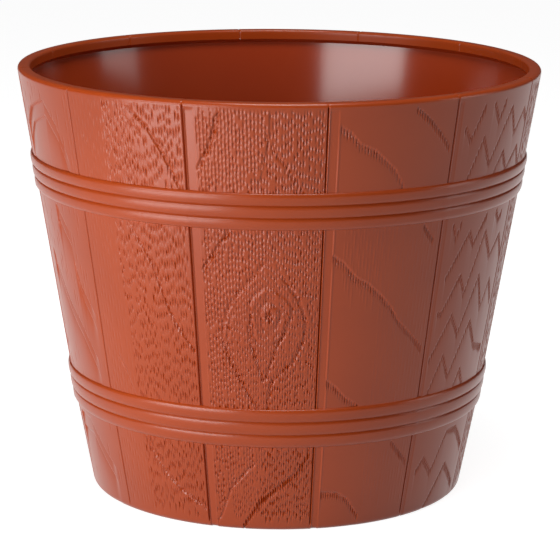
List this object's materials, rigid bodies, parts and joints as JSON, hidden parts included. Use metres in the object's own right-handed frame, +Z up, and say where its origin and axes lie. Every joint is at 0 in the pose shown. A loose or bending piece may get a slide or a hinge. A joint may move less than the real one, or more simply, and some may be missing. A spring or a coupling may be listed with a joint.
{
  "type": "flower pot",
  "caption": "Round tapered floor planter with a stave-and-hoop barrel relief, a flat rim, a raised drained floor and push-in drain plugs.",
  "frame": {"origin": "on the ground at the centre of the foot ring", "axes": "+Z up along the pot's axis, -Y towards the pictured front"},
  "size_m": [0.3992, 0.3992, 0.328],
  "materials": {
    "pot_wall": "injection-moulded polypropylene, satin",
    "drain_plug": "moulded low-density polyethylene, satin"
  },
  "bodies": {
    "pot": {"pot_body": "pot_wall"},
    "plug_1": {"drain_plug_1": "drain_plug"},
    "plug_2": {"drain_plug_2": "drain_plug"},
    "plug_3": {"drain_plug_3": "drain_plug"},
    "plug_4": {"drain_plug_4": "drain_plug"},
    "plug_5": {"drain_plug_5": "drain_plug"},
    "plug_6": {"drain_plug_6": "drain_plug"}
  },
  "joints": [
    {"name": "plug_1_lift", "type": "slide", "parent": "pot", "child": "plug_1", "axis": [0, 0, 1], "range_m": [0, 0.33]},
    {"name": "plug_2_lift", "type": "slide", "parent": "pot", "child": "plug_2", "axis": [0, 0, 1], "range_m": [0, 0.33]},
    {"name": "plug_3_lift", "type": "slide", "parent": "pot", "child": "plug_3", "axis": [0, 0, 1], "range_m": [0, 0.33]},
    {"name": "plug_4_lift", "type": "slide", "parent": "pot", "child": "plug_4", "axis": [0, 0, 1], "range_m": [0, 0.33]},
    {"name": "plug_5_lift", "type": "slide", "parent": "pot", "child": "plug_5", "axis": [0, 0, 1], "range_m": [0, 0.33]},
    {"name": "plug_6_lift", "type": "slide", "parent": "pot", "child": "plug_6", "axis": [0, 0, 1], "range_m": [0, 0.33]}
  ]
}
